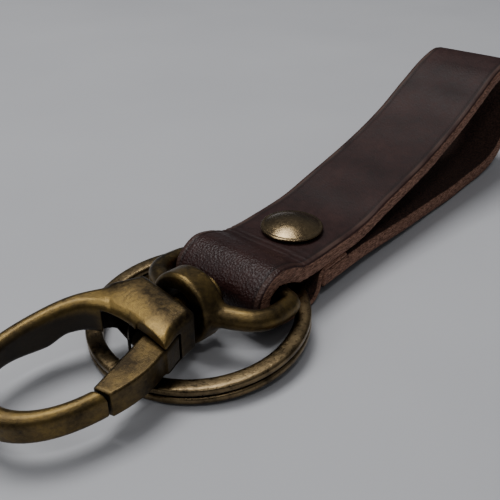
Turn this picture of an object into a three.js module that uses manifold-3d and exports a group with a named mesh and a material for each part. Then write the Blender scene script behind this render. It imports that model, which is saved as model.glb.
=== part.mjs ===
// Leather keychain: a folded strap held by one double cap rivet, with a split ring and a swivel snap
// hook in its fold. Millimetres, +Z up. X runs along the strap, away from the hook, Y across it, and the
// origin is under the rivet on the surface that the keychain lies on.
import * as THREE from "three";
import { mergeVertices } from "three/addons/utils/BufferGeometryUtils.js";
import Module from "manifold-3d";

const wasm = await Module();
wasm.setup();

// ---- driving dimensions ----
const STRAP = { width: 16, thickness: 2.7, skived: 0.7, bevel: 0.25, hole: 1.6 };
const RIVET = { cap: 4.7, base: 2.9, shell: 0.5, post: 1.3, bottom: 0, top: 8.1 };
const RING = { radius: 15.6, width: 2.3, coil: 1.22, slit: 0.14, tilt: 3.8, x: -19.7, y: 1, turnGap: 15 };
const EYE = { collar: 5.1, length: 3.7, hole: 2.8, bar: 1.5, arm: 9.95, reach: 10.5, lift: 5 };
const COLLAR = { x: -22.8, y: 0, z: 6.5 };
const HOOK = {
  yaw: 12.5, pitch: 2, roll: 4, centre: 17.2, offset: -0.8, long: 12.4, wide: 9, arm: 2.3, power: 2.3,
};
const BODY = {
  near: [2.2, -5.3], far: [3.45, 4.6], tall: 4.1, belly: 2.9, slim: 1.95, cavity: 2.2, root: 2.8,
};
const GATE = { pivotU: 6.3, pivotV: -3.6, half: 1.9, reach: 11.8, gap: 0.35, pin: 0.8 };
const GAP = 0.3;

// ---- materials ----
const leather = new THREE.MeshStandardMaterial({ color: 0x33221f, roughness: 0.55, metalness: 0 });
const brass = () => new THREE.MeshStandardMaterial({ color: 0x6e5b3c, roughness: 0.36, metalness: 0.9 });
const steel = () => new THREE.MeshStandardMaterial({ color: 0x8b8b88, roughness: 0.35, metalness: 0.9 });

// ---- solids ----
function solidOf(geometry) {
  const bare = new THREE.BufferGeometry().setAttribute("position", geometry.getAttribute("position"));
  const merged = mergeVertices(bare.setIndex(geometry.index), 1e-4);
  return new wasm.Manifold(new wasm.Mesh({
    numProp: 3,
    vertProperties: merged.attributes.position.array,
    triVerts: new Uint32Array(merged.index.array),
  }));
}

function geometryOf(solid) {
  const { vertProperties, triVerts } = solid.getMesh();
  return new THREE.BufferGeometry()
    .setAttribute("position", new THREE.BufferAttribute(vertProperties, 3))
    .setIndex(new THREE.BufferAttribute(triVerts, 1));
}

// A slab with the outline (x, y), from z = low to z = high, with its rim rounded by bevel.
function slab(outline, low, high, bevel = 0, holes = []) {
  const shape = new THREE.Shape(outline);
  for (const [x, y, r] of holes) shape.holes.push(new THREE.Path().absarc(x, y, r, 0, 2 * Math.PI, true));
  const geometry = new THREE.ExtrudeGeometry(shape, {
    depth: high - low - 2 * bevel,
    bevelEnabled: bevel > 0,
    bevelSize: bevel,
    bevelThickness: bevel,
    bevelOffset: -bevel,
    bevelSegments: 2,
    curveSegments: 32,
    steps: 1,
  });
  return geometry.translate(0, 0, low + bevel);
}

// A solid of revolution about Z from a closed profile of (radius, z) pairs, listed anticlockwise.
function turned(profile, segments = 48) {
  const points = profile.map(([r, z]) => new THREE.Vector2(r, z));
  return new THREE.LatheGeometry([...points, points[0].clone()], segments);
}

function named(name, geometry, material) {
  const mesh = new THREE.Mesh(geometry, material);
  mesh.name = name;
  return mesh;
}

const degrees = THREE.MathUtils.degToRad;

// ---- strap: one strip, from its skived flap round the fold, over the top, round the loop and back ----
// Middle line of the strip in the plane (x, z), from the flap's end to the lower layer's end.
const STRIP = [
  [3.6, 4.95], [0, 4.95], [-2, 4.92], [-2.95, 4.35], [-3.2, 3.3], [-3.5, 2.1], [-4.8, 0.85], [-7.2, 0.5],
  [-10.4, 0.88], [-13.8, 2.2], [-15.9, 4.5], [-15.9, 7.1], [-13.4, 8.8], [-10.4, 8.3], [-7.4, 7.05],
  [-4, 6.75], [0, 6.75], [8, 7.1], [16, 8.7], [28, 11.2], [38, 14.3], [46, 17.7], [53, 20.6], [59, 21.4],
  [64, 18.6],
  [66, 13], [64.2, 7], [60, 3.1], [54, 1.58], [46, 1.43], [38, 1.45], [20, 2.3], [8, 3.0], [0, 3.12],
  [-2.2, 3.12],
];

// The flap's end is skived thin under the rivet, and the strip is at its full thickness from the fold on.
function stripThickness(x, along) {
  const full = STRAP.thickness;
  const flapShare = 0.12;
  if (along > flapShare) return full;
  return STRAP.skived + (full - STRAP.skived) * THREE.MathUtils.smoothstep(-x, 8, 15);
}

function strapGeometry() {
  const line = new THREE.SplineCurve(STRIP.map(([x, z]) => new THREE.Vector2(x, z)));
  const count = 130;
  const left = [];
  const right = [];
  for (let i = 0; i <= count; i++) {
    const at = line.getPointAt(i / count);
    const way = line.getTangentAt(i / count);
    const half = stripThickness(at.x, i / count) / 2;
    left.push(new THREE.Vector2(at.x - way.y * half, at.y + way.x * half));
    right.push(new THREE.Vector2(at.x + way.y * half, at.y - way.x * half));
  }
  const outline = [...left, ...right.reverse()];
  const half = STRAP.width / 2;
  const strip = solidOf(slab(outline, -half, half, STRAP.bevel).rotateX(Math.PI / 2));
  const hole = solidOf(new THREE.CylinderGeometry(STRAP.hole, STRAP.hole, 12, 40).rotateX(Math.PI / 2));
  return geometryOf(strip.subtract(hole.translate([0, 0, 5])));
}

// ---- rivet: a domed cap shell on a socket, pressed on the post of a flat base ----
function rivetCap() {
  const { cap, shell, top } = RIVET;
  const seat = top + 0.3;
  const dome = [[0, seat + 1.5], [0, seat + 1.5 - shell]];
  for (let i = 0; i <= 8; i++) {
    const r = ((cap - shell) * i) / 8;
    dome.push([r, seat + 0.35 + (1.15 - shell) * (1 - (r / cap) ** 2)]);
  }
  dome.push([cap - shell, seat], [cap, seat], [cap + 0.1, seat + 0.25]);
  for (let i = 8; i > 0; i--) {
    const r = (cap * i) / 8;
    dome.push([r, seat + 0.35 + 1.15 * (1 - (r / cap) ** 2)]);
  }
  return turned(dome.slice(1));
}

function rivetSocket() {
  const { post, top } = RIVET;
  const bore = post + GAP;
  const low = top + 0.3;
  return turned([[0, low + 0.65], [0, low + 0.35], [bore - 0.1, low + 0.35], [bore - 0.1, low],
    [4, low], [4, low + 0.3], [2.4, low + 0.65]]);
}

function rivetPost() {
  const { base, post, bottom, top } = RIVET;
  return turned([[0, top + 0.2], [0, bottom], [base - 0.3, bottom], [base, bottom + 0.3],
    [base, bottom + 1.1], [base - 0.5, bottom + 1.55], [post, bottom + 1.55], [post, top + 0.2]]);
}

// ---- split ring: one flat strip wound twice round, stepping up one coil across a short gap ----
function splitRing() {
  const { radius, width, coil, slit, turnGap } = RING;
  const middle = radius - width / 2;
  const turn = 2 * Math.PI;
  const start = degrees(turnGap);
  const length = 2 * turn - 2 * start;
  const round = 0.3;
  const section = new THREE.Shape();
  const [hx, hy] = [width / 2, coil / 2];
  section.moveTo(-hx + round, -hy).lineTo(hx - round, -hy).lineTo(hx, -hy + round).lineTo(hx, hy - round);
  section.lineTo(hx - round, hy).lineTo(-hx + round, hy).lineTo(-hx, hy - round).lineTo(-hx, -hy + round);
  const strip = new THREE.ExtrudeGeometry(section, { depth: length, steps: 132, bevelEnabled: false });
  const place = strip.attributes.position;
  for (let i = 0; i < place.count; i++) {
    const angle = start + place.getZ(i);
    const up = THREE.MathUtils.smoothstep(angle, turn - start, turn + start) - 0.5;
    const r = middle + place.getX(i);
    place.setXYZ(i, r * Math.cos(angle), -r * Math.sin(angle), place.getY(i) + up * (coil + slit));
  }
  return strip;
}

// ---- swivel eye, in its own frame: S runs from the collar's middle to the bar in the fold ----
function eyeGeometry() {
  const { collar, length, hole, bar, arm, reach } = EYE;
  const half = length / 2;
  const disc = turned([[hole, -half], [collar - 0.5, -half], [collar, -half + 0.5], [collar, half - 0.5],
    [collar - 0.5, half], [hole, half]]).rotateZ(Math.PI / 2);
  const corner = 1.9;
  const side = [[0.9, 4.5], [1.9, 6.8], [3.2, 8.9], [5.3, arm], [reach - corner, arm],
    [reach - 0.5, arm - 0.5], [reach, arm - corner], [reach, 4]];
  const route = [...side.map(([s, v]) => [s, v]), ...side.map(([s, v]) => [s, -v]).reverse()];
  const path = new THREE.CatmullRomCurve3(
    route.map(([s, v]) => new THREE.Vector3(s, v, 0)), false, "centripetal");
  const section = new THREE.Shape();
  for (let i = 0; i < 12; i++) {
    const a = (i * Math.PI) / 6;
    const [x, y] = [bar * Math.cos(a), bar * Math.sin(a)];
    if (i === 0) section.moveTo(x, y);
    else section.lineTo(x, y);
  }
  const loop = new THREE.ExtrudeGeometry(section, { steps: 70, bevelEnabled: false, extrudePath: path });
  return geometryOf(solidOf(disc).add(solidOf(loop)));
}

// ---- snap hook, in its own frame: U runs from the collar's middle to the nose, V across, W up ----
function superellipse(centre, long, wide, count = 72) {
  const power = 2 / HOOK.power;
  return Array.from({ length: count }, (_, i) => {
    const a = (2 * Math.PI * i) / count;
    const [c, s] = [Math.cos(a), Math.sin(a)];
    return new THREE.Vector2(
      centre + long * Math.sign(c) * Math.abs(c) ** power,
      HOOK.offset + wide * Math.sign(s) * Math.abs(s) ** power,
    );
  });
}

const points = (pairs) => pairs.map(([x, y]) => new THREE.Vector2(x, y));

function box(low, high) {
  const size = high.map((h, i) => h - low[i]);
  return solidOf(new THREE.BoxGeometry(...size)).translate(low.map((l, i) => l + size[i] / 2));
}

function hookBody() {
  const { centre, long, wide, arm } = HOOK;
  const { near, far, tall, belly, slim, cavity, root } = BODY;
  const start = near[0];
  const frame = solidOf(slab(superellipse(centre, long, wide), -6, 6));
  const neck = solidOf(slab(points([near, [7.6, -7.2], [9, 0], [8, 6.2], far]), -6, 6));
  const eye = solidOf(slab(superellipse(centre + 0.6, long - arm - 0.9, wide - arm), -8, 8));
  const cowl = solidOf(slab(points([near, [7.2, -8], [8.6, -5.3], [8.9, -2.9], [10.6, 2.2],
    [13.5, 5.2], [15.5, 8.5], [6, 8.5], far]), -6, 6));
  const plan = frame.add(neck).subtract(eye).add(cowl.intersect(frame.add(neck)));
  // Two side outlines: the near arm is slim, and the far arm deepens towards the cowl past the ring.
  const upright = (outline) => solidOf(new THREE.ExtrudeGeometry(outline, {
    depth: 30, bevelEnabled: false, curveSegments: 10,
  }).translate(0, 0, -15).rotateX(Math.PI / 2));
  const underside = (shape) => shape.bezierCurveTo(9.5, slim + 0.1, 8.5, slim + 0.4, 7, belly - 0.2)
    .bezierCurveTo(6, belly, 5, belly, start, root);
  const slimSide = new THREE.Shape().moveTo(start, -tall + 0.5)
    .bezierCurveTo(4, -tall, 6, -tall, 7.5, -tall + 0.2)
    .bezierCurveTo(9.5, -tall + 0.5, 12.5, -slim - 0.9, 16.5, -slim).lineTo(31, -slim).lineTo(31, slim)
    .lineTo(12, slim);
  const deepSide = new THREE.Shape().moveTo(start, -tall + 0.5)
    .bezierCurveTo(4, -tall, 6, -tall, 7.5, -tall + 0.2)
    .bezierCurveTo(11, -tall + 0.7, 15, -slim - 0.9, 24, -slim).lineTo(31, -slim).lineTo(31, slim)
    .lineTo(24, slim).bezierCurveTo(20, slim + 0.4, 18, slim + 1.1, 15.8, slim + 1).lineTo(14.7, slim)
    .lineTo(12, slim);
  const side = upright(underside(slimSide)).add(upright(underside(deepSide)).intersect(
    box([2, 0, -8], [31, 12, 8])));
  const room = solidOf(slab(points([[5, -6.1], [4.4, -4.2], [4.4, 1.8], [6.4, 3.8], [10.5, 4.2], [12, -1.5],
    [12, -9.5], [7, -9.5]]),
    -cavity, cavity));
  const sweep = GATE.reach + GATE.gap;
  const gateRoom = solidOf(new THREE.CylinderGeometry(sweep, sweep, 16, 96).rotateX(Math.PI / 2)
    .translate(GATE.pivotU, GATE.pivotV, 0)).intersect(solidOf(slab(points([[8.9, -2.6], [8.6, -5.3],
      [7.2, -8], [6.9, -12], [20, -12], [20, -2.6]]), -8, 8)));
  const bore = solidOf(new THREE.CylinderGeometry(1.8 + GAP, 1.8 + GAP, 8, 32).rotateZ(Math.PI / 2));
  const pinHole = solidOf(new THREE.CylinderGeometry(GATE.pin + GAP, GATE.pin + GAP, 20, 24)
    .rotateX(Math.PI / 2).translate(GATE.pivotU, GATE.pivotV, 0));
  return geometryOf(plan.intersect(side).subtract(room).subtract(gateRoom).subtract(bore.translate([4, 0, 0]))
    .subtract(pinHole));
}

function gateGeometry() {
  const { pivotU, pivotV, half, reach, pin } = GATE;
  const outer = solidOf(slab(superellipse(HOOK.centre, HOOK.long, HOOK.wide), -half, half));
  const swing = solidOf(new THREE.CylinderGeometry(reach, reach, 8, 96).rotateX(Math.PI / 2)
    .translate(pivotU, pivotV, 0));
  const band = points([[pivotU - 1.5, pivotV - 0.4], [5.35, -5.9], [7.4, -9.5], [9, -11], [19, -11],
    [19, -8.3], [14.5, -6.2], [10.5, -4.3], [pivotU + 1.7, pivotV + 1.2], [pivotU + 0.6, pivotV + 1.7],
    [pivotU - 1, pivotV + 1.2]]);
  const lever = solidOf(slab(band, -half, half)).intersect(outer).intersect(swing);
  const hole = solidOf(new THREE.CylinderGeometry(pin + GAP, pin + GAP, 9, 24).rotateX(Math.PI / 2)
    .translate(pivotU, pivotV, 0));
  return geometryOf(lever.subtract(hole));
}

function gatePin() {
  return new THREE.CylinderGeometry(GATE.pin, GATE.pin, 2 * BODY.tall - 1.4, 24).rotateX(Math.PI / 2)
    .translate(GATE.pivotU, GATE.pivotV, 0);
}

function gateSpring() {
  const outer = new THREE.QuadraticBezierCurve(
    new THREE.Vector2(4.8, 1.5), new THREE.Vector2(8.6, 1.6), new THREE.Vector2(10.3, -2.5)).getPoints(16);
  const inner = new THREE.QuadraticBezierCurve(
    new THREE.Vector2(10.0, -2.7), new THREE.Vector2(8.4, 1.2), new THREE.Vector2(4.8, 1.1)).getPoints(16);
  return slab([...outer, ...inner], -1.2, 1.2);
}

function swivelStud() {
  const profile = [[0, 3.9], [0, -4.3], [2.2, -4.3], [2.7, -3.9], [2.7, -3.15], [1.8, -3.15], [1.8, 3.9]];
  return turned(profile).rotateZ(-Math.PI / 2);
}

// ---- assembly ----
const keychain = new THREE.Group();
keychain.add(named("strap", strapGeometry(), leather));
keychain.add(named("rivet_cap", rivetCap().rotateX(Math.PI / 2), brass()));
keychain.add(named("rivet_socket", rivetSocket().rotateX(Math.PI / 2), brass()));
keychain.add(named("rivet_post", rivetPost().rotateX(Math.PI / 2), brass()));

const ringTop = RING.coil + RING.slit / 2;
const ring = named("split_ring", splitRing(), brass());
ring.position.set(RING.x, RING.y, ringTop + RING.radius * Math.sin(degrees(RING.tilt)) + 0.02);
ring.rotation.y = -degrees(RING.tilt);
keychain.add(ring);

const eyeFrame = new THREE.Group();
eyeFrame.position.set(COLLAR.x, COLLAR.y, COLLAR.z);
eyeFrame.rotation.y = degrees(EYE.lift);
eyeFrame.add(named("swivel_eye", eyeGeometry(), brass()));
keychain.add(eyeFrame);

const hookFrame = new THREE.Group();
hookFrame.position.set(COLLAR.x, COLLAR.y, COLLAR.z);
hookFrame.rotation.order = "ZYX";
hookFrame.rotation.z = degrees(180 - HOOK.yaw);
hookFrame.rotation.y = degrees(HOOK.pitch);
hookFrame.rotation.x = degrees(180 - HOOK.roll);
hookFrame.add(named("swivel_stud", swivelStud(), brass()));
hookFrame.add(named("hook_body", hookBody(), brass()));
hookFrame.add(named("gate", gateGeometry(), brass()));
hookFrame.add(named("gate_pin", gatePin(), brass()));
hookFrame.add(named("gate_spring", gateSpring(), steel()));
keychain.add(hookFrame);

export default keychain;
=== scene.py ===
"""Leather keychain with a split ring and a swivel snap hook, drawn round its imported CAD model."""

import math

import bpy
import numpy as np
from mathutils import Matrix, Vector


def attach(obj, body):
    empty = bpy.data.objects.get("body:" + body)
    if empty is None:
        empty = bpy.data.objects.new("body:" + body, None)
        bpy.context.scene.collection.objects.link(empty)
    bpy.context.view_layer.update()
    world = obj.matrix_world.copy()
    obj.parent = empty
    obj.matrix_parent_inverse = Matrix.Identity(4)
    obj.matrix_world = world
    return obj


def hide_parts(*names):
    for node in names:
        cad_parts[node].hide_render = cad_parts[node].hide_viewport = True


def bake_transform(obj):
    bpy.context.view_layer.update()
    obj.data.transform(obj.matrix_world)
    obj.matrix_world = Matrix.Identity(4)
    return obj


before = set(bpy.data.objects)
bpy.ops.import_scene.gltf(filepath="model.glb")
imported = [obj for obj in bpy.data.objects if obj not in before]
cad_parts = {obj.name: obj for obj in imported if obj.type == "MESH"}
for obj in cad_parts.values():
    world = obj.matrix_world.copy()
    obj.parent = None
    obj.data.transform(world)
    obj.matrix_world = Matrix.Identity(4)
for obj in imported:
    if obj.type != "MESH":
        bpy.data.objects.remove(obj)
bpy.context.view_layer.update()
MM = 0.001

# The part's own dimensions, in millimetres, after the CAD's.
STRAP_WIDTH, STRAP_THICK, FLAP_THICK = 16.0, 2.7, 0.7
RING = {"radius": 15.6, "width": 2.3, "coil": 1.22, "slit": 0.14, "tilt": 3.8, "x": -19.7, "y": 1.0,
        "gap": 15}
COLLAR = Vector((-22.8, 0.0, 6.5))
EYE = {"collar": 5.1, "length": 3.7, "hole": 2.8, "bar": 1.5, "arm": 9.95, "reach": 10.5, "lift": 5}
HOOK = {"yaw": 12.5, "pitch": 2, "roll": 4, "centre": 17.2, "offset": -0.8,
        "long": 12.4, "wide": 9.0, "power": 2.3}
GATE = {"u": 6.3, "v": -3.6, "half": 1.9, "reach": 11.8, "gap": 0.35, "root": 1.5, "pin_hole": 1.1}
ARM = 2.3
RIVET = {"cap": 4.7, "seat": 8.4, "rise": 1.5}


# ---- meshes ----
def mesh_object(name, vertices, faces, place=None):
    """A smooth mesh from points in millimetres, moved by the matrix place."""
    mesh = bpy.data.meshes.new(name)
    points = np.asarray(vertices, float) * MM
    mesh.from_pydata(points.tolist(), [], faces)
    if place is not None:
        mesh.transform(place)
    mesh.update()
    mesh.polygons.foreach_set("use_smooth", [True] * len(mesh.polygons))
    thing = bpy.data.objects.new(name, mesh)
    bpy.context.scene.collection.objects.link(thing)
    return thing


def paint(piece, **given):
    """Gives each named share to the piece's vertices, for its material to read."""
    for name, values in given.items():
        piece.data.attributes.new(name, "FLOAT", "POINT").data.foreach_set(
            "value", values.reshape(-1).astype(np.float32))
    return piece


def tube(sections):
    """Points and faces of a solid through rings of the same number of points: sections is (rings, points, 3)."""
    rings, around = sections.shape[:2]
    i, j = np.meshgrid(np.arange(rings - 1), np.arange(around), indexing="ij")
    a, b = i * around + j, i * around + (j + 1) % around
    c, d = (i + 1) * around + (j + 1) % around, (i + 1) * around + j
    faces = np.stack([a, b, c, d], -1).reshape(-1, 4).tolist()
    faces.append(list(range(around))[::-1])
    faces.append([(rings - 1) * around + k for k in range(around)])
    return sections.reshape(-1, 3), faces


def lathe(profile, around=96):
    """A closed solid of revolution about Z from (radius, z) pairs that start and end on the axis."""
    inner = np.array(profile[1:-1], float)
    angle = np.linspace(0, 2 * math.pi, around, endpoint=False)
    rows = np.stack([inner[:, :1] * np.cos(angle), inner[:, :1] * np.sin(angle),
                     np.repeat(inner[:, 1:], around, 1)], -1)
    vertices, faces = tube(rows)
    faces = faces[:-2]
    count = len(vertices)
    vertices = np.vstack([vertices, [[0, 0, profile[0][1]], [0, 0, profile[-1][1]]]])
    last = (len(inner) - 1) * around
    for k in range(around):
        n = (k + 1) % around
        faces.append([count, n, k])
        faces.append([count + 1, last + k, last + n])
    return vertices, faces


def shell(field, low, high, step):
    """The surface where field(x, y, z) is zero, by surface nets: one vertex a cell, one quad an edge."""
    axes = [np.arange(a, b + step, step) for a, b in zip(low, high)]
    d = field(*np.meshgrid(*axes, indexing="ij")).astype(np.float32)
    cells = tuple(np.array(d.shape) - 1)
    total, count = np.zeros((*cells, 3), np.float32), np.zeros(cells, np.float32)
    crossings = []
    for axis in range(3):
        a, b = np.take(d, range(d.shape[axis] - 1), axis), np.take(d, range(1, d.shape[axis]), axis)
        cross = (a < 0) != (b < 0)
        share = np.where(cross, a / np.where(cross, a - b, 1), 0)
        crossings.append((cross, a < 0))
        one, two = (axis + 1) % 3, (axis + 2) % 3
        for i in (0, 1):
            for j in (0, 1):
                cut = [slice(None)] * 3
                cut[one], cut[two] = slice(i, i + cells[one]), slice(j, j + cells[two])
                c, s = cross[tuple(cut)], share[tuple(cut)]
                count += c
                total[..., axis] += s
                total[..., one] += c * i
                total[..., two] += c * j
    used = count > 0
    index = np.full(cells, -1)
    index[used] = np.arange(used.sum())
    vertices = (np.argwhere(used) + total[used] / count[used][:, None]) * step + np.array(low)
    faces = []
    for axis, (cross, inside) in enumerate(crossings):
        one, two = (axis + 1) % 3, (axis + 2) % 3
        at = np.argwhere(cross)
        at = at[(at[:, one] > 0) & (at[:, two] > 0) & (at[:, one] < cells[one]) & (at[:, two] < cells[two])]
        corner = []
        for i, j in ((1, 1), (0, 1), (0, 0), (1, 0)):
            p = at.copy()
            p[:, one] -= i
            p[:, two] -= j
            corner.append(index[tuple(p.T)])
        quad = np.stack(corner, 1)
        back = ~inside[tuple(at.T)]
        quad[back] = quad[back][:, ::-1]
        faces.append(quad)
    return vertices, np.vstack(faces).tolist()


# ---- distance fields, in millimetres, negative inside ----
def join(a, b, k):
    h = np.clip(0.5 + 0.5 * (b - a) / k, 0, 1)
    return b + (a - b) * h - k * h * (1 - h)


def meet(a, b, k):
    return -join(-a, -b, k)


def rounded(a, b, r):
    """Where both a and b are negative, with the edge between them rounded to radius r."""
    qa, qb = a + r, b + r
    return np.sqrt(np.maximum(qa, 0) ** 2 + np.maximum(qb, 0) ** 2) + np.minimum(np.maximum(qa, qb), 0) - r


def oval(u, v, centre, long, wide):
    p = HOOK["power"]
    x, y = np.abs(u - centre) / long + 1e-6, np.abs(v - HOOK["offset"]) / wide + 1e-6
    f = (x ** p + y ** p) ** (1 / p)
    slope = f ** (1 - p) * np.sqrt((x ** (p - 1) / long) ** 2 + (y ** (p - 1) / wide) ** 2)
    return (f - 1) / np.maximum(slope, 0.04)


def convex(u, v, corners):
    """Distance to a convex outline whose corners run anticlockwise in (u, v)."""
    d = np.full(u.shape, -1e3)
    for (a, b), (c, e) in zip(corners, corners[1:] + corners[:1]):
        n = math.hypot(c - a, e - b)
        d = np.maximum(d, ((u - a) * (e - b) - (v - b) * (c - a)) / n)
    return d


def along(points, p):
    """Distance from the points p to a line through the given points."""
    best = np.full(p[0].shape, 1e3)
    for a, b in zip(points[:-1], points[1:]):
        way = b - a
        t = sum((p[i] - a[i]) * way[i] for i in range(3)) / max(float(way @ way), 1e-9)
        t = np.clip(t, 0, 1)
        best = np.minimum(best, np.sqrt(sum((p[i] - a[i] - t * way[i]) ** 2 for i in range(3))))
    return best


def spline(points, count):
    """Points evenly spaced along a Catmull-Rom line through the given points, with their directions."""
    p = np.array(points, float)
    p = np.vstack([2 * p[0] - p[1], p, 2 * p[-1] - p[-2]])
    fine = []
    for a, b, c, d in zip(p[:-3], p[1:-2], p[2:-1], p[3:]):
        t = np.linspace(0, 1, 40, endpoint=False)[:, None]
        square, cube = 2 * a - 5 * b + 4 * c - d, 3 * b - a - 3 * c + d
        fine.append(0.5 * (2 * b + (c - a) * t + square * t ** 2 + cube * t ** 3))
    fine = np.vstack([*fine, p[-2:-1]])
    run = np.concatenate([[0], np.cumsum(np.linalg.norm(np.diff(fine, axis=0), axis=1))])
    at = np.linspace(0, run[-1], count)
    line = np.stack([np.interp(at, run, fine[:, k]) for k in range(p.shape[1])], 1)
    way = np.gradient(line, axis=0)
    return line, way / np.linalg.norm(way, axis=1)[:, None], run[-1]


def smooth(x, low, high):
    t = np.clip((x - low) / (high - low), 0, 1)
    return t * t * (3 - 2 * t)


def waves(x, y, seed, count, reach):
    """Soft seeded unevenness between about -1 and 1: a sum of sine waves no shorter than reach."""
    rng = np.random.default_rng(seed)
    total = np.zeros(np.broadcast(x, y).shape)
    for _ in range(count):
        a = rng.uniform(0, 2 * math.pi)
        length = reach * rng.uniform(1, 3)
        phase = rng.uniform(0, 2 * math.pi)
        total += np.sin((x * math.cos(a) + y * math.sin(a)) * 2 * math.pi / length + phase)
    return total / math.sqrt(count)


# ---- materials ----
class Nodes:
    def __init__(self, name):
        self.material = bpy.data.materials.new(name)
        self.material.use_nodes = True
        self.tree = self.material.node_tree
        self.shader = self.tree.nodes["Principled BSDF"]
        coordinates = self.tree.nodes.new("ShaderNodeTexCoord")
        scaled = self.tree.nodes.new("ShaderNodeVectorMath")
        scaled.operation = "SCALE"
        scaled.inputs["Scale"].default_value = 1000
        self.link(coordinates.outputs["Object"], scaled.inputs[0])
        self.place = scaled.outputs[0]

    def link(self, a, b):
        self.tree.links.new(a, b)

    def noise(self, scale, detail=4, rough=0.55, stretch=None):
        n = self.tree.nodes.new("ShaderNodeTexNoise")
        n.inputs["Scale"].default_value = scale
        n.inputs["Detail"].default_value = detail
        n.inputs["Roughness"].default_value = rough
        place = self.place
        if stretch:
            mapping = self.tree.nodes.new("ShaderNodeMapping")
            mapping.inputs["Scale"].default_value = stretch
            self.link(self.place, mapping.inputs[0])
            place = mapping.outputs[0]
        self.link(place, n.inputs["Vector"])
        return n.outputs[0]

    def cells(self, scale):
        n = self.tree.nodes.new("ShaderNodeTexVoronoi")
        n.inputs["Scale"].default_value = scale
        self.link(self.place, n.inputs["Vector"])
        return n.outputs["Distance"]

    def given(self, name):
        n = self.tree.nodes.new("ShaderNodeAttribute")
        n.attribute_name = name
        return n.outputs["Fac"]

    def ramp(self, value, *stops):
        n = self.tree.nodes.new("ShaderNodeValToRGB")
        ramp = n.color_ramp
        while len(ramp.elements) < len(stops):
            ramp.elements.new(0.5)
        for e, (at, colour) in zip(ramp.elements, stops):
            e.position = at
            e.color = (*colour, 1) if len(colour) == 3 else (colour[0],) * 3 + (1,)
        self.link(value, n.inputs[0])
        return n.outputs[0]

    def math(self, kind, a, b=0.0):
        n = self.tree.nodes.new("ShaderNodeMath")
        n.operation = kind
        for socket, value in zip(n.inputs, (a, b)):
            if isinstance(value, (int, float)):
                socket.default_value = value
            else:
                self.link(value, socket)
        return n.outputs[0]

    def mix(self, share, a, b, kind="MIX"):
        n = self.tree.nodes.new("ShaderNodeMix")
        n.data_type, n.blend_type = "RGBA", kind
        for socket, value in ((n.inputs[0], share), (n.inputs[6], a), (n.inputs[7], b)):
            if isinstance(value, tuple):
                socket.default_value = (*value, 1)
            elif isinstance(value, (int, float)):
                socket.default_value = value
            else:
                self.link(value, socket)
        return n.outputs[2]

    def bump(self, height, distance, strength=1.0, under=None):
        n = self.tree.nodes.new("ShaderNodeBump")
        n.inputs["Distance"].default_value = distance
        n.inputs["Strength"].default_value = strength
        self.link(height, n.inputs["Height"])
        if under is not None:
            self.link(under, n.inputs["Normal"])
        return n.outputs[0]

    def set(self, **values):
        for name, value in values.items():
            socket = self.shader.inputs[name.replace("_", " ")]
            if isinstance(value, (int, float)):
                socket.default_value = value
            elif isinstance(value, tuple):
                socket.default_value = (*value, 1)
            else:
                self.link(value, socket)
        return self.material


def antique_brass(name, bright, mid, dark, rough, pits, seed):
    """Cast or rolled brass, brighter where the mesh's painted highlight attribute is high, blackened where its
    painted shade attribute is, and darkened by ambient occlusion in recesses and near other parts (painted
    shade).
    """
    n = Nodes(name)
    clouds = n.noise(0.22 + seed, 5, 0.6)
    fine = n.noise(1.7 + seed, 6, 0.65)
    grain = n.noise(7.0 + seed, 4, 0.6)
    brushed = n.noise(2.0, 3, 0.6, (0.35, 1.6, 1.6))
    tone = n.math("ADD", n.math("MULTIPLY", clouds, 0.65), n.math("MULTIPLY", fine, 0.35))
    # painted highlight: the tone is raised where the mesh's painted highlight attribute is high
    tone = n.math("ADD", tone, n.given("rub"))
    colour = n.ramp(tone, (0.36, dark), (0.5, mid), (0.66, bright))
    # painted shade: ambient occlusion darkens the base colour in recesses, between parts and where the brass
    # nears the floor
    hollow = n.tree.nodes.new("ShaderNodeAmbientOcclusion")
    hollow.samples = 8
    hollow.inputs["Distance"].default_value = 0.0032
    shade = n.ramp(hollow.outputs["AO"], (0.25, (0.16, 0.12, 0.1)), (0.72, (1.0, 1.0, 1.0)))
    colour = n.mix(1.0, colour, shade, "MULTIPLY")
    speck = n.ramp(grain, (0.3, (0.55, 0.5, 0.45)), (0.46, (1.0, 1.0, 1.0)))
    colour = n.mix(0.55, colour, speck, "MULTIPLY")
    # painted shade: the colour is blackened and made less metallic where the mesh's painted shade attribute is
    # high
    tarnish = n.given("tarnish")
    colour = n.mix(n.math("MULTIPLY", tarnish, 0.9), colour, (0.018, 0.014, 0.011))
    gloss = n.math("ADD", n.math("MULTIPLY", fine, 0.24), rough - 0.12)
    gloss = n.math("ADD", gloss, n.math("MULTIPLY", brushed, 0.06))
    bump = n.bump(grain, pits * MM, 0.8)
    bump = n.bump(fine, 0.05 * MM, 0.7, bump)
    metal = n.math("SUBTRACT", 1.0, n.math("MULTIPLY", tarnish, 0.7))
    return n.set(Base_Color=colour, Metallic=metal, Roughness=gloss, Normal=bump, Specular_IOR_Level=0.25)


BRASS = {
    "hook_brass": {"bright": (0.205, 0.137, 0.046),
                   "mid": (0.108, 0.075, 0.033), "dark": (0.034, 0.025, 0.015),
                   "rough": 0.36, "pits": 0.03, "seed": 0.0},
    "ring_brass": {"bright": (0.265, 0.193, 0.098),
                   "mid": (0.17, 0.122, 0.064), "dark": (0.058, 0.042, 0.024),
                   "rough": 0.27, "pits": 0.012, "seed": 0.07},
    "rivet_brass": {"bright": (0.27, 0.20, 0.112),
                    "mid": (0.20, 0.146, 0.08), "dark": (0.10, 0.072, 0.042),
                    "rough": 0.22, "pits": 0.01, "seed": 0.13},
}
hook_brass, ring_brass, rivet_brass = (antique_brass(name, **look) for name, look in BRASS.items())


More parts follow.
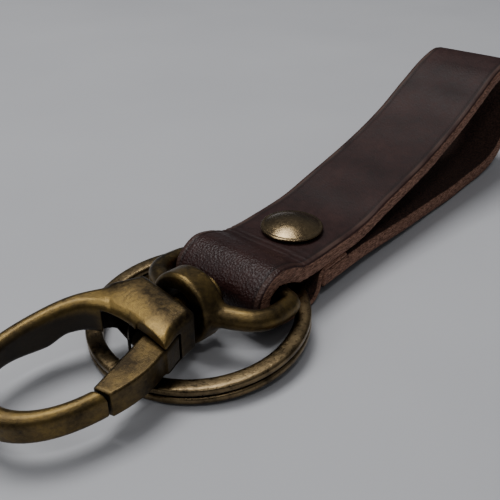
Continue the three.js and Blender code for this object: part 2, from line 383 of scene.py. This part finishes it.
def spring_steel():
    n = Nodes("spring_steel")
    grain = n.noise(3.0, 5, 0.6, (0.4, 2.0, 2.0))
    colour = n.ramp(grain, (0.35, (0.020, 0.018, 0.016)), (0.65, (0.055, 0.050, 0.044)))
    rough = n.math("ADD", n.math("MULTIPLY", grain, 0.3), 0.35)
    return n.set(Base_Color=colour, Metallic=1.0, Roughness=rough, Normal=n.bump(grain, 0.02 * MM, 0.6))


def leather_material():
    """Dark brown leather, which the mesh's kind says is grain side (0), cut edge (0.5) or flesh side (1)."""
    n = Nodes("strap_leather")
    kind = n.given("kind")
    crease = n.given("crease")
    clouds = n.noise(0.12, 4, 0.55)
    mottle = n.noise(0.9, 6, 0.62)
    pebble = n.cells(2.9)
    pores = n.cells(6.5)
    hair = n.noise(3.2, 6, 0.7)
    fold = n.given("fold")
    tone = n.math("ADD", n.math("MULTIPLY", clouds, 0.6), n.math("MULTIPLY", mottle, 0.4))
    base = n.ramp(tone, (0.36, (0.015, 0.0056, 0.0050)), (0.5, (0.024, 0.0090, 0.0078)),
                  (0.66, (0.038, 0.0150, 0.0125)))
    # lighter grain colour along the edges and the lip beside the creased line: edge wear, and a painted
    # highlight along the lip
    worn_and_highlit = n.mix(n.math("MULTIPLY", n.given("wear"), 0.65), base, (0.085, 0.048, 0.036))
    grain_side = n.mix(n.math("MULTIPLY", crease, 0.75), worn_and_highlit, (0.006, 0.0035, 0.003))
    fibres = n.noise(2.2, 7, 0.72, (0.6, 1.0, 2.6))
    edge = n.ramp(fibres, (0.36, (0.055, 0.026, 0.018)), (0.48, (0.21, 0.105, 0.072)),
                  (0.64, (0.45, 0.25, 0.17)))
    flesh = n.ramp(hair, (0.38, (0.010, 0.006, 0.005)), (0.64, (0.085, 0.042, 0.030)))
    is_edge = n.ramp(kind, (0.25, (0,)), (0.5, (1,)))
    is_flesh = n.ramp(kind, (0.75, (0,)), (0.95, (1,)))
    colour = n.mix(is_flesh, n.mix(is_edge, grain_side, edge), flesh)
    rough = n.math("ADD", n.math("MULTIPLY", mottle, 0.25), 0.42)
    rough = n.math("SUBTRACT", rough, n.math("MULTIPLY", fold, 0.14))
    rough = n.math("ADD", rough, n.math("MULTIPLY", is_edge, 0.3))
    # Fine pebbles stand out where the grain is stretched round the fold.
    height = n.math("MULTIPLY", pebble, n.math("ADD", n.math("MULTIPLY", fold, 1.2), 0.4))
    height = n.math("ADD", height, n.math("MULTIPLY", pores, 0.28))
    height = n.math("ADD", height, n.math("MULTIPLY", mottle, 0.5))
    height = n.math("ADD", height, n.math("MULTIPLY", n.math("MULTIPLY", fibres, is_edge), 2.2))
    height = n.math("ADD", height, n.math("MULTIPLY", n.math("MULTIPLY", hair, is_flesh), 2.5))
    return n.set(Base_Color=colour, Roughness=rough, Specular_IOR_Level=0.24,
                 Normal=n.bump(height, 0.075 * MM, 0.75))


# ---- strap ----
STRIP = [
    (3.6, 4.95), (0, 4.95), (-2, 4.92), (-2.95, 4.35), (-3.2, 3.3), (-3.5, 2.1), (-4.8, 0.85), (-7.2, 0.5),
    (-10.4, 0.88), (-13.8, 2.2), (-15.9, 4.5), (-15.9, 7.1), (-13.4, 8.8), (-10.4, 8.3), (-7.4, 7.05),
    (-4, 6.75), (0, 6.75), (8, 7.1), (16, 8.7), (28, 11.2), (38, 14.3), (46, 17.7), (53, 20.6), (59, 21.4),
    (64, 18.6), (66, 13), (64.2, 7), (60, 3.1), (54, 1.58), (46, 1.43), (38, 1.45), (20, 2.3), (8, 3.0),
    (0, 3.12), (-2.2, 3.12),
]


def strap_section(steps=26, sides=9):
    """The strip's cut across its width: each point's place across, its share up, and its kind of surface."""
    across, up, kind = [], [], []
    half = STRAP_WIDTH / 2
    bevel = 0.42
    # the grain side from edge to edge, then each cut edge, with the flesh side between them
    for t in np.linspace(-1, 1, steps * 2 + 1):
        y = (half - bevel) * (abs(t) ** 0.72) * math.copysign(1, t)
        across.append(y)
        up.append(1.0)
        kind.append(0.0)
    for side in (1, -1):
        for k in range(sides):
            a = (k + 0.5) / sides
            across.append(side * (half - bevel * (1 - math.sin(math.pi * a) ** 0.45)))
            up.append((1 - 2 * a) * side)
            kind.append(0.0 if (a < 0.1 and side > 0) or (a > 0.9 and side < 0) else 0.5)
        if side > 0:
            for t in np.linspace(1, -1, steps + 1):
                across.append((half - bevel) * t)
                up.append(-1.0)
                kind.append(1.0)
    return np.array(across), np.array(up), np.array(kind)


def strap():
    count = 760
    line, way, length = spline(STRIP, count)
    share = np.linspace(0, 1, count)
    across, up, kind = strap_section()
    thick = np.where(share > 0.12, STRAP_THICK,
                     FLAP_THICK + (STRAP_THICK - FLAP_THICK) * smooth(-line[:, 0], 8, 15))
    run = (share * length)[:, None]
    y, f = across[None, :], up[None, :]
    half = STRAP_WIDTH / 2
    inset = half - np.abs(y)
    on_grain = (kind[None, :] == 0) & (f > 0.99)
    crease = np.where(on_grain, np.exp(-((inset - 1.15) / 0.16) ** 2), 0) * np.ones_like(run)
    lip = np.where(on_grain, np.exp(-((inset - 0.8) / 0.25) ** 2), 0)
    edge_drop = np.where(on_grain, np.exp(-(np.maximum(inset - 0.35, 0) / 0.35) ** 2), 0)
    x = line[:, :1]
    top = smooth(share[:, None], 0.115, 0.14)
    # Small cross wrinkles in the hollow between the fold and the rivet.
    hollow = np.exp(-((x + 6.8) / 2.2) ** 2) * top * (share[:, None] < 0.35)
    bend = y * 0.05 + waves(run, y, 5, 3, 9) * 0.25
    wrinkle = hollow * (0.05 * np.sin((x + bend) * 4.6) + 0.03 * np.sin((x - bend) * 8.3 + 1))
    on_flesh = f < -0.99
    uneven = 0.03 * waves(run, y, 3, 8, 5) * on_grain + 0.05 * waves(run, y + 40, 8, 9, 1.3) * on_flesh
    ragged = 0.04 * waves(run, f * 2, 13, 10, 0.7) * (kind[None, :] == 0.5)
    offset = f * thick[:, None] / 2
    # the skived flap is too thin to take the creased line
    creased = thick[:, None] > 1.2
    offset = offset - crease * 0.12 * creased + lip * 0.035 - edge_drop * 0.1 + wrinkle + uneven - 0.03
    side = y + np.sign(y) * (ragged + 0.06 * waves(run, run * 0, 21, 5, 14)) * (inset < 1.6) * 0.8
    normal = np.stack([-way[:, 1], way[:, 0]], 1)
    rows = np.stack([x + normal[:, :1] * offset, np.broadcast_to(side, offset.shape),
                     line[:, 1:] + normal[:, 1:] * offset], -1)
    rows[..., 1] *= -1
    rows[..., 2] = np.maximum(rows[..., 2], 0.0)
    vertices, faces = tube(rows)
    piece = mesh_object("strap_leather", vertices, faces)
    bend_out = np.gradient(np.unwrap(np.arctan2(way[:, 1], way[:, 0]))) / (length / count)
    fold = np.clip(-bend_out / 0.22, 0, 1)[:, None] * np.ones_like(y)
    # the lip and the edges get lighter colour: edge wear, and a painted highlight on the lip
    wear = np.clip(lip + edge_drop * 1.2, 0, 1) * np.ones_like(run) * (0.6 + 0.4 * waves(run, y, 31, 6, 6))
    return paint(piece, kind=kind[None, :] * np.ones_like(run), crease=crease * creased, fold=fold,
                 wear=np.clip(wear, 0, 1))


# ---- rivet ----
def rivet_cap():
    cap, seat, rise = RIVET["cap"], RIVET["seat"], RIVET["rise"]
    profile = [(0, seat + rise - 0.5)]
    for r in np.linspace(0.4, cap - 0.5, 8):
        profile.append((r, seat + 0.35 + 0.65 * (1 - (r / cap) ** 2)))
    for a in np.linspace(-0.5, 0.62, 9):
        turn = math.pi * a
        profile.append((cap - 0.16 + 0.26 * math.cos(turn), seat + 0.26 + 0.26 * math.sin(turn)))
    for r in np.linspace(cap - 0.42, 0.15, 26):
        profile.append((r, seat + 0.36 + 1.14 * (1 - (r / (cap - 0.1)) ** 2.1)))
    profile.append((0, seat + rise))
    return mesh_object("rivet_dome", *lathe(profile))


# ---- split ring ----
def split_ring():
    middle, start = RING["radius"] - RING["width"] / 2, math.radians(RING["gap"])
    turn = 2 * math.pi
    angle = np.linspace(start, 2 * turn - start, 520)
    step = smooth(angle, turn - start, turn + start) - 0.5
    around = np.linspace(0, turn, 28, endpoint=False)
    # a flattened wire: flat faces with round edges
    cx = np.sign(np.cos(around)) * np.abs(np.cos(around)) ** 0.62 * RING["width"] / 2
    cy = np.sign(np.sin(around)) * np.abs(np.sin(around)) ** 0.55 * RING["coil"] / 2
    taper = np.minimum(1, np.minimum(angle - angle[0], angle[-1] - angle) / 0.03 + 0.72)[:, None]
    r = middle + cx[None, :] * taper
    lift = cy[None, :] * taper + step[:, None] * (RING["coil"] + RING["slit"])
    rows = np.stack([r * np.cos(angle)[:, None], -r * np.sin(angle)[:, None], lift], -1)
    vertices, faces = tube(rows)
    top = RING["coil"] + RING["slit"] / 2
    height = top + RING["radius"] * math.sin(math.radians(RING["tilt"])) + 0.02
    place = Matrix.Translation(Vector((RING["x"], RING["y"], height)) * MM) @ Matrix.Rotation(
        -math.radians(RING["tilt"]), 4, "Y")
    return mesh_object("split_ring_wire", vertices, faces, place=place)


# ---- swivel eye ----
def eye_field(s, v, w):
    """The collar with the bar that loops from its sides through the leather's fold."""
    collar, half = EYE["collar"], EYE["length"] / 2
    ring = np.sqrt(v ** 2 + w ** 2)
    disc = rounded(ring - collar, np.abs(s) - half, 0.6)
    reach, arm = EYE["reach"], EYE["arm"]
    side = [(0.9, 4.5), (1.9, 6.8), (3.2, 8.9), (5.3, arm), (reach - 1.9, arm), (reach - 0.5, arm - 0.5),
            (reach, arm - 1.9), (reach, 4)]
    route = [(a, b, 0) for a, b in side] + [(a, -b, 0) for a, b in side[::-1]]
    line, _, _ = spline(route, 56)
    bar = along(line, (s, v, w)) - EYE["bar"] * (1 - 0.04 * np.cos(v * 0.6))
    return meet(join(disc, bar, 1.1), np.minimum(EYE["hole"] - ring, 6 - s), 0.35)


def swivel_eye():
    place = Matrix.Translation(COLLAR * MM) @ Matrix.Rotation(math.radians(EYE["lift"]), 4, "Y")
    vertices, faces = shell(eye_field, (-2.4, -12, -5.6), (12.4, 12, 5.6), 0.14)
    return mesh_object("swivel_eye_cast", vertices, faces, place=place)


# ---- snap hook ----
HOOK_PLACE = (Matrix.Translation(COLLAR * MM) @ Matrix.Rotation(math.radians(180 - HOOK["yaw"]), 4, "Z")
              @ Matrix.Rotation(math.radians(HOOK["pitch"]), 4, "Y")
              @ Matrix.Rotation(math.radians(180 - HOOK["roll"]), 4, "X"))
# Convex outlines in the hook's own plane, anticlockwise: its body, the room inside it and the gate's lever.
NECK = [(2.2, -5.3), (7.6, -7.2), (9.4, 0.0), (8.0, 6.2), (3.45, 4.6)]
ROOM = [(4.4, 1.8), (4.4, -4.2), (5.0, -6.1), (7.0, -9.5), (12.0, -9.5), (12.0, -1.5), (10.5, 4.2),
        (6.4, 3.8)]
LEVER = [(4.75, -4.6), (4.85, -5.2), (5.25, -6.2), (7.25, -9.6), (9.0, -11.0), (20.0, -11.0), (20.0, -8.8),
         (8.0, -3.1)]
# The spring leaf's curve in the same plane, and the stretch over which it passes from the hook to the gate.
LEAF = {"seat": (4.85, 1.3), "knee": (8.5, 1.4), "tip": (10.1, -2.5), "wide": 2.4, "thick": 0.36,
        "bend": ((5.6, 1.3), (9.4, -1.2))}
ROOM_HALF = 2.2
ARM_HALF = 1.95
NOSE_EXTRA = 0.9


def outline(u, v):
    """The hook's outer edge seen from above: its oval joined to the body."""
    return join(oval(u, v, HOOK["centre"], HOOK["long"], HOOK["wide"]), convex(u, v, NECK), 1.6)


def inner_edge(u, v):
    return oval(u, v, HOOK["centre"] + 0.6, HOOK["long"] - ARM - NOSE_EXTRA, HOOK["wide"] - ARM)


def rim_at(v):
    """Where the cowl's rim stands as it sweeps from the gate's root over to the far arm."""
    return 9.5 + 0.33 * v + 0.02 * v ** 2


def end_wall(v):
    return 2.85 + 0.13 * v


def hook_field(u, v, w):
    rim = rim_at(v)
    opening = meet(inner_edge(u, v), rim - u, 1.6)
    plan = meet(outline(u, v), -opening, 0.5)
    # above, the body and the far arm stand up from the other arm, and the body's shoulders fall away
    far = np.maximum(smooth(v, -3, 4), 1 - smooth(u, 9, 13))
    height = ARM_HALF + 1.25 * far * (1 - smooth(u, 10, 24)) + 0.9 * (1 - smooth(u, 5.5, 12))
    height = height - 0.35 * smooth(np.abs(v), 3, 8) * (1 - smooth(u, 8, 12))
    # below, the body and the middle of the far arm are deeper
    deep = smooth(v, 0, 3) * smooth(u, 14.3, 17.5) * (1 - smooth(u, 17.5, 25))
    low = ARM_HALF + 0.9 * (1 - smooth(u, 6.6, 10.5)) + deep
    d = rounded(plan, np.where(w < 0, -w - height, w - low), 1.1)
    d = meet(d, end_wall(v) - u, 0.5)
    room = rounded(convex(u, v, ROOM), np.abs(w) - ROOM_HALF, 0.3)
    d = meet(d, -room, 0.25)
    swing = np.maximum(np.hypot(u - GATE["u"], v - GATE["v"]) - GATE["reach"] - GATE["gap"],
                       np.maximum(rim - u, v + 2.6))
    d = meet(d, -swing, 0.12)
    bore = np.maximum(np.hypot(v, w) - 2.1, u - 8)
    return meet(d, -bore, 0.15)


def gate_field(u, v, w):
    from_pin = np.hypot(u - GATE["u"], v - GATE["v"])
    lever = convex(u, v, LEVER)
    plan = join(from_pin - GATE["root"], lever, 0.8)
    plan = np.maximum(plan, outline(u, v) + 0.02)
    plan = np.maximum(plan, from_pin - GATE["reach"])
    d = rounded(plan, np.abs(w) - GATE["half"], 0.35)
    return np.maximum(d, GATE["pin_hole"] - from_pin)


def hook_body():
    vertices, faces = shell(hook_field, (1.7, -10.4, -4.7), (30.2, 8.8, 3.5), 0.13)
    u, v, w = vertices.T
    # painted shade: the inner walls of the opening below their top, the room behind the gate and the end wall by
    # the collar are blackened
    wall = (1 - smooth(np.abs(inner_edge(u, v)), 0.25, 1.0)) * smooth(w, -2.6, -0.9)
    in_room = np.maximum(convex(u, v, ROOM), np.abs(w) - ROOM_HALF)
    room = (1 - smooth(in_room, 0.0, 0.3)) * (u < 13)
    end = 1 - smooth(u - end_wall(v), 0.1, 0.7)
    # painted highlight along the top side of the cowl's rim and the tops of the arms; the body behind the rim is
    # darker in tone
    rim = rim_at(v) - u
    top = smooth(-w, 0.9, 1.8)
    ridge = 0.13 * np.exp(-((rim - 1.0) / 1.3) ** 2) + 0.09 * smooth(-rim, 0.5, 4)
    rub = top * ridge - 0.09 * smooth(rim, 2.4, 4.5)
    tarnish = np.maximum(np.maximum(wall, room), end)
    return paint(mesh_object("hook_cast", vertices, faces, place=HOOK_PLACE), rub=rub, tarnish=tarnish)


def gate():
    vertices, faces = shell(gate_field, (3.5, -10.4, -2.4), (19, -0.6, 2.4), 0.12)
    u = vertices[:, 0]
    piece = mesh_object("gate_lever", vertices, faces, place=HOOK_PLACE)
    # painted shade darkens the gate's root where it goes in under the cowl; the gate's tone is a little darker
    # all over
    return paint(piece, tarnish=0.4 * (1 - smooth(u, 6, 9)), rub=np.full(len(u), -0.05))


def gate_spring():
    """The leaf from its seat in the hook's room to the back of the gate."""
    t = np.linspace(0, 1, 48)[:, None]
    seat, knee, tip = np.array([LEAF["seat"], LEAF["knee"], LEAF["tip"]])
    line = (1 - t) ** 2 * seat + 2 * t * (1 - t) * knee + t ** 2 * tip
    way = np.gradient(line, axis=0)
    way /= np.linalg.norm(way, axis=1)[:, None]
    around = np.linspace(0, 2 * math.pi, 24, endpoint=False)
    wide = LEAF["wide"] / 2 * np.sign(np.cos(around)) * np.abs(np.cos(around)) ** 0.3
    thick = LEAF["thick"] / 2 * np.sign(np.sin(around)) * np.abs(np.sin(around)) ** 0.6
    rows = np.stack([line[:, :1] + way[:, 1:] * thick, line[:, 1:] - way[:, :1] * thick,
                     np.broadcast_to(wide, (len(t), len(around)))], -1)
    return mesh_object("gate_spring_leaf", *tube(rows), place=HOOK_PLACE)


def dress(piece, body, slot, material, *nodes):
    piece.data.materials.append(material)
    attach(piece, body)
    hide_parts(*nodes)


dress(strap(), "strap", "leather", leather_material(), "strap")
dress(rivet_cap(), "strap", "rivet_brass", rivet_brass, "rivet_cap")
dress(split_ring(), "ring", "ring_brass", ring_brass, "split_ring")
dress(swivel_eye(), "eye", "hook_brass", hook_brass, "swivel_eye")
dress(hook_body(), "hook", "hook_brass", hook_brass, "hook_body")
dress(gate(), "gate", "hook_brass", hook_brass, "gate")
# the leaf stays put at its seat: it is baked in place and attached to no body
leaf = gate_spring()
leaf.data.materials.append(spring_steel())
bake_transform(leaf)
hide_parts("gate_spring")
for name, material in (("rivet_socket", rivet_brass), ("rivet_post", rivet_brass),
                       ("swivel_stud", hook_brass), ("gate_pin", hook_brass)):
    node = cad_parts[name]
    node.data.materials.clear()
    node.data.materials.append(material)


# ---- floor, light and camera ----
def floor():
    n = Nodes("studio_floor")
    cloud = n.noise(0.02, 3, 0.5)
    colour = n.ramp(cloud, (0.3, (0.462, 0.466, 0.486)), (0.7, (0.494, 0.498, 0.516)))
    material = n.set(Base_Color=colour, Roughness=0.62, Normal=n.bump(n.noise(1.5, 4), 0.01 * MM, 0.3))
    half, level = 2.5, -0.0001
    corners = [(x * half, y * half, level) for x, y in ((-1, -1), (1, -1), (1, 1), (-1, 1))]
    mesh = bpy.data.meshes.new("studio_floor")
    mesh.from_pydata(corners, [], [(0, 1, 2, 3)])
    mesh.materials.append(material)
    piece = bpy.data.objects.new("studio_floor", mesh)
    bpy.context.scene.collection.objects.link(piece)


def panel(name, place, aim, size, power, colour=(1, 1, 1)):
    light = bpy.data.lights.new(name, "AREA")
    light.shape, light.size, light.size_y = "RECTANGLE", size[0], size[1]
    light.energy, light.color = power, colour
    lamp = bpy.data.objects.new(name, light)
    lamp.location = place
    lamp.rotation_euler = (Vector(aim) - Vector(place)).to_track_quat("-Z", "Y").to_euler()
    bpy.context.scene.collection.objects.link(lamp)


floor()
middle = (0.0, 0.0, 0.005)
panel("key_softbox", (0.02, 0.20, 0.62), middle, (0.34, 0.26), 2.75)
panel("side_softbox", (-0.44, 0.20, 0.40), middle, (0.24, 0.24), 0.7, (0.98, 0.99, 1.0))
panel("front_window", (-0.22, -0.20, 0.52), middle, (0.10, 0.05), 0.35)

world = bpy.data.worlds.new("studio")
world.use_nodes = True
sky = world.node_tree
around = sky.nodes.new("ShaderNodeTexCoord")
split = sky.nodes.new("ShaderNodeSeparateXYZ")
fade = sky.nodes.new("ShaderNodeValToRGB")
fade.color_ramp.elements[0].position, fade.color_ramp.elements[0].color = 0.0, (0.07, 0.07, 0.075, 1)
fade.color_ramp.elements[1].position, fade.color_ramp.elements[1].color = 0.85, (0.62, 0.63, 0.66, 1)
sky.links.new(around.outputs["Generated"], split.inputs[0])
sky.links.new(split.outputs["Z"], fade.inputs[0])
sky.links.new(fade.outputs[0], sky.nodes["Background"].inputs["Color"])
sky.nodes["Background"].inputs["Strength"].default_value = 0.36
bpy.context.scene.world = world

camera_data = bpy.data.cameras.new("camera")
camera_data.lens, camera_data.sensor_width, camera_data.clip_start = 49.3, 36, 0.001
camera = bpy.data.objects.new("camera", camera_data)
camera.location = (-0.07408, -0.05392, 0.05964)
camera.rotation_euler = Vector((0.6551, 0.5505, -0.5174)).to_track_quat("-Z", "Y").to_euler()
bpy.context.scene.collection.objects.link(camera)
bpy.context.scene.camera = camera
